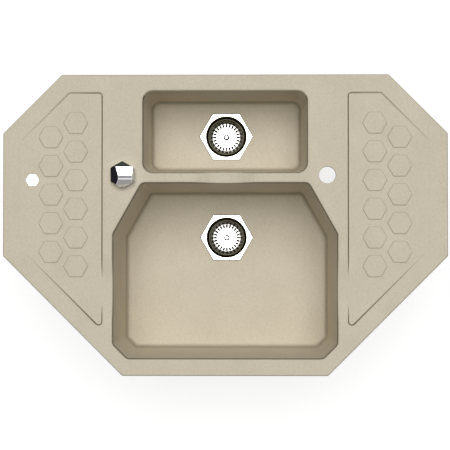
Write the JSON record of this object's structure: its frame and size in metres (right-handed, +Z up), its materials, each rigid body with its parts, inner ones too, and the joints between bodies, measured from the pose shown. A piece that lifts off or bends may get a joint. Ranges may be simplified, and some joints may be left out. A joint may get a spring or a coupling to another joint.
{
  "type": "kitchen sink",
  "caption": "Octagonal corner kitchen sink of cast quartz with a large and a small bowl, hexagon-studded drainboards, lift-out strainers and a knob that raises the large bowl's strainer.",
  "frame": {"origin": "middle of the deck's length and width, on the underside of the rim that sits on the worktop", "axes": "+X to the right along the deck, +Y to the back, +Z up out of the bowls"},
  "size_m": [0.93, 0.63, 0.3306],
  "materials": {
    "quartz": "matt, finely grained",
    "steel": "polished",
    "chrome": "mirror",
    "rubber": "matt",
    "dark_plastic": "moulded",
    "pale_plastic": "moulded",
    "brass": "turned"
  },
  "bodies": {
    "sink": {"sink_body": "quartz", "blank_badge": "steel", "main_waste_flange": "steel", "small_waste_flange": "steel", "small_centre_screw": "steel", "cover_screws": "steel", "rim_clamps": "steel", "clamp_screws": "steel", "control_bush": "chrome", "main_flange_seal": "rubber", "small_flange_seal": "rubber", "main_floor_gasket": "rubber", "small_floor_gasket": "rubber", "bush_gasket": "rubber", "under_washer": "rubber", "main_waste_body": "dark_plastic", "small_waste_body": "dark_plastic", "port_nut": "dark_plastic", "drum_housing": "dark_plastic", "housing_cover": "dark_plastic", "cable_elbow": "pale_plastic", "pop_up_cable": "pale_plastic", "main_hollow_screw": "brass", "control_locknut": "brass", "housing_nut": "brass", "clamp_inserts": "brass"},
    "knob": {"control_knob": "chrome", "knob_grub_screw": "steel", "control_spindle": "steel", "spindle_clip": "steel", "cable_drum": "pale_plastic"},
    "pin": {"lift_pin": "steel"},
    "main_strainer": {"main_basket": "steel", "main_basket_stem": "chrome", "main_stopper_seal": "rubber"},
    "small_strainer": {"small_basket": "steel", "small_basket_stem": "chrome", "small_stopper_seal": "rubber"}
  },
  "joints": [
    {"name": "knob_turn", "type": "hinge", "parent": "sink", "child": "knob", "pos_m": [-0.2138, 0.1045, 0], "axis": [0, 0, 1], "range_deg": [0, 90]},
    {"name": "pin_lift", "type": "slide", "parent": "sink", "child": "pin", "axis": [0, 0, 1], "range_m": [0, 0.01022]},
    {"name": "main_strainer_lift", "type": "slide", "parent": "pin", "child": "main_strainer", "axis": [0, 0, 1], "range_m": [0, 0.27]},
    {"name": "small_strainer_lift", "type": "slide", "parent": "sink", "child": "small_strainer", "axis": [0, 0, 1], "range_m": [0, 0.22]}
  ],
  "couplings": [
    {"joint": "pin_lift", "follows": "knob_turn", "m_per_rad": 0.0065}
  ]
}
